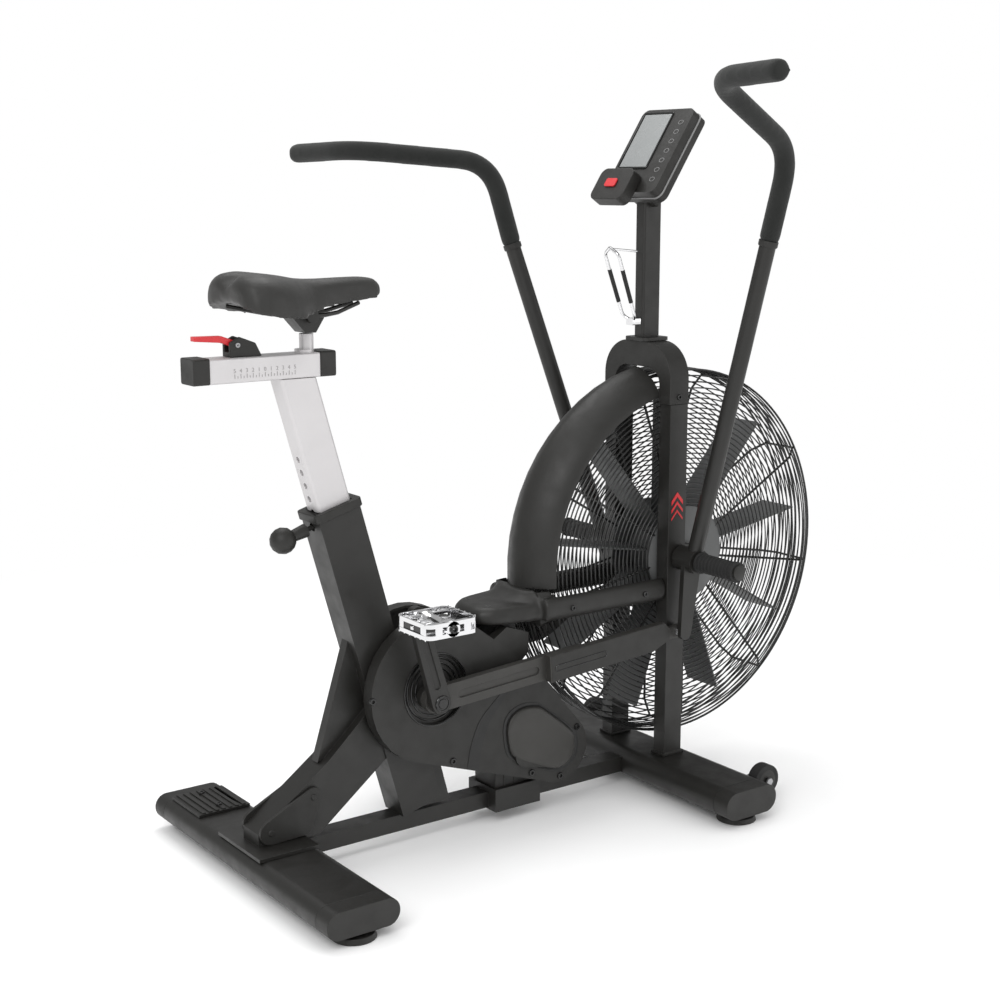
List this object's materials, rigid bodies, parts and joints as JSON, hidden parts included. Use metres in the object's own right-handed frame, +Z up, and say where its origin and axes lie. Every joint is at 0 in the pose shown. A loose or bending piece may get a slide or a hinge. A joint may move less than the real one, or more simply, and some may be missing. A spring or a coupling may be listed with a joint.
{
  "type": "air bike",
  "caption": "Upright exercise cycle with a large caged fan in front, pedals linked by pushrods to swinging arm levers, a fore-aft seat on a leaning post, and cross feet.",
  "frame": {"origin": "on the floor, at the centre of the whole machine", "axes": "+X from the rear foot to the fan, +Y to the rider's left, +Z up"},
  "size_m": [1.2614, 0.9554, 1.2513],
  "materials": {
    "paint": "satin black",
    "plastic": "satin black moulded",
    "cover": "warm grey moulded",
    "foam": "fine cell foam",
    "silver": "brushed and clear anodised",
    "chrome": "polished",
    "steel": "zinc",
    "red": "smooth",
    "rubber": "moulded",
    "screen": "unlit display",
    "wire": "black powder coat on wire",
    "blade": "grey powder coat",
    "leather": "fine grained cover"
  },
  "bodies": {
    "frame": {"rear_foot_tube": "paint", "rear_foot_cap_right": "plastic", "rear_foot_cap_left": "plastic", "front_foot_tube": "paint", "front_foot_cap_right": "plastic", "front_foot_cap_left": "plastic", "rear_tread_cover": "plastic", "wheel_bracket_right": "paint", "wheel_bracket_left": "paint", "frame_weldment": "paint", "strut_shroud_right": "plastic", "strut_shroud_left": "plastic", "seat_tube_collar": "plastic", "chain_cover_right": "plastic", "chain_cover_left": "plastic", "drive_belt": "rubber", "fan_guard_right": "wire", "fan_guard_left": "wire", "fender": "plastic", "fork_leg_right": "paint", "fork_leg_left": "paint", "fork_arch": "plastic", "shoulder_cover": "plastic", "console_body": "plastic", "console_screen": "screen", "console_pod": "plastic", "console_key_red": "red", "console_mast": "paint", "bottle_cage": "chrome", "foot_peg_right": "rubber", "foot_peg_left": "rubber"},
    "rear_levelling_foot_right": {"rear_levelling_foot_right": "paint"},
    "rear_levelling_foot_left": {"rear_levelling_foot_left": "paint"},
    "front_levelling_foot_right": {"front_levelling_foot_right": "paint"},
    "front_levelling_foot_left": {"front_levelling_foot_left": "paint"},
    "transport_wheel_right": {"transport_wheel_right": "rubber"},
    "transport_wheel_left": {"transport_wheel_left": "rubber"},
    "seat_post": {"seat_post": "silver"},
    "seat_pin": {"seat_pin_knob": "plastic"},
    "seat_carriage": {"seat_beam": "silver", "seat_beam_cap_rear": "plastic", "seat_beam_cap_front": "plastic", "clamp_body": "plastic"},
    "clamp_lever": {"clamp_lever": "red"},
    "saddle": {"saddle_clamp": "paint", "saddle": "leather"},
    "crank": {"crank_axle": "steel", "crank_pulley": "steel", "crank_right": "paint", "crank_left": "paint"},
    "pushrod_right": {"pushrod_right": "cover"},
    "pedal_right": {"pedal_right": "silver"},
    "pushrod_left": {"pushrod_left": "cover"},
    "pedal_left": {"pedal_left": "silver"},
    "jackshaft": {"jackshaft": "steel"},
    "fan": {"fan_rotor": "blade"},
    "lever_right": {"lever_right": "paint", "grip_right": "foam"},
    "lever_left": {"lever_left": "paint", "grip_left": "foam"}
  },
  "joints": [
    {"name": "rear_levelling_foot_right_screw", "type": "slide", "parent": "frame", "child": "rear_levelling_foot_right", "axis": [0, 0, -1], "range_m": [0, 0.008]},
    {"name": "rear_levelling_foot_left_screw", "type": "slide", "parent": "frame", "child": "rear_levelling_foot_left", "axis": [0, 0, -1], "range_m": [0, 0.008]},
    {"name": "front_levelling_foot_right_screw", "type": "slide", "parent": "frame", "child": "front_levelling_foot_right", "axis": [0, 0, -1], "range_m": [0, 0.008]},
    {"name": "front_levelling_foot_left_screw", "type": "slide", "parent": "frame", "child": "front_levelling_foot_left", "axis": [0, 0, -1], "range_m": [0, 0.008]},
    {"name": "transport_wheel_right_spin", "type": "hinge", "parent": "frame", "child": "transport_wheel_right", "pos_m": [0.33278, 0, 0.044], "axis": [0, 1, 0], "continuous": true},
    {"name": "transport_wheel_left_spin", "type": "hinge", "parent": "frame", "child": "transport_wheel_left", "pos_m": [0.33278, 0, 0.044], "axis": [0, 1, 0], "continuous": true},
    {"name": "seat_height", "type": "slide", "parent": "frame", "child": "seat_post", "axis": [-0.2756, 0, 0.9613], "range_m": [-0.11, 0.088], "stiffness_N_per_m": 60000},
    {"name": "seat_pin_pull", "type": "slide", "parent": "frame", "child": "seat_pin", "axis": [-0.9613, 0, -0.2756], "range_m": [0, 0.012], "stiffness_N_per_m": 1500, "springref_m": -0.01},
    {"name": "seat_fore_aft", "type": "slide", "parent": "seat_post", "child": "seat_carriage", "axis": [1, 0, 0], "range_m": [-0.05, 0.05]},
    {"name": "clamp_lever_lift", "type": "hinge", "parent": "seat_carriage", "child": "clamp_lever", "pos_m": [-0.55472, 0, 0.842], "axis": [0, 1, 0], "range_deg": [0, 30]},
    {"name": "saddle_tilt", "type": "hinge", "parent": "seat_carriage", "child": "saddle", "pos_m": [-0.43472, 0, 0.879], "axis": [0, 1, 0], "range_deg": [-12, 12], "stiffness_Nm_per_rad": 1000},
    {"name": "crank_spin", "type": "hinge", "parent": "frame", "child": "crank", "pos_m": [-0.23972, 0, 0.269], "axis": [0, 1, 0], "continuous": true},
    {"name": "pushrod_right_pin", "type": "hinge", "parent": "crank", "child": "pushrod_right", "pos_m": [-0.26158, 0, 0.26327], "axis": [0, 1, 0], "continuous": true},
    {"name": "pedal_right_spin", "type": "hinge", "parent": "crank", "child": "pedal_right", "pos_m": [-0.30607, 0, 0.41459], "axis": [0, 1, 0], "continuous": true},
    {"name": "pushrod_left_pin", "type": "hinge", "parent": "crank", "child": "pushrod_left", "pos_m": [-0.21786, 0, 0.27474], "axis": [0, 1, 0], "continuous": true},
    {"name": "pedal_left_spin", "type": "hinge", "parent": "crank", "child": "pedal_left", "pos_m": [-0.17337, 0, 0.12341], "axis": [0, 1, 0], "continuous": true},
    {"name": "jackshaft_spin", "type": "hinge", "parent": "frame", "child": "jackshaft", "pos_m": [0.01528, 0, 0.116], "axis": [0, 1, 0], "continuous": true},
    {"name": "fan_spin", "type": "hinge", "parent": "frame", "child": "fan", "pos_m": [0.30128, 0, 0.422], "axis": [0, 1, 0], "continuous": true},
    {"name": "lever_right_swing", "type": "hinge", "parent": "frame", "child": "lever_right", "pos_m": [0.25728, 0, 0.428], "axis": [0, 1, 0], "range_deg": [-20.5, 0.7]},
    {"name": "lever_left_swing", "type": "hinge", "parent": "frame", "child": "lever_left", "pos_m": [0.25728, 0, 0.428], "axis": [0, 1, 0], "range_deg": [-0.7, 20.5]}
  ],
  "couplings": [
    {"joint": "pushrod_right_pin", "follows": "crank_spin", "ratio": -1},
    {"joint": "pushrod_left_pin", "follows": "crank_spin", "ratio": -1},
    {"joint": "jackshaft_spin", "follows": "crank_spin", "ratio": 3.44},
    {"joint": "fan_spin", "follows": "crank_spin", "ratio": 9.31},
    {"joint": "lever_left_swing", "follows": "lever_right_swing", "ratio": -1}
  ]
}
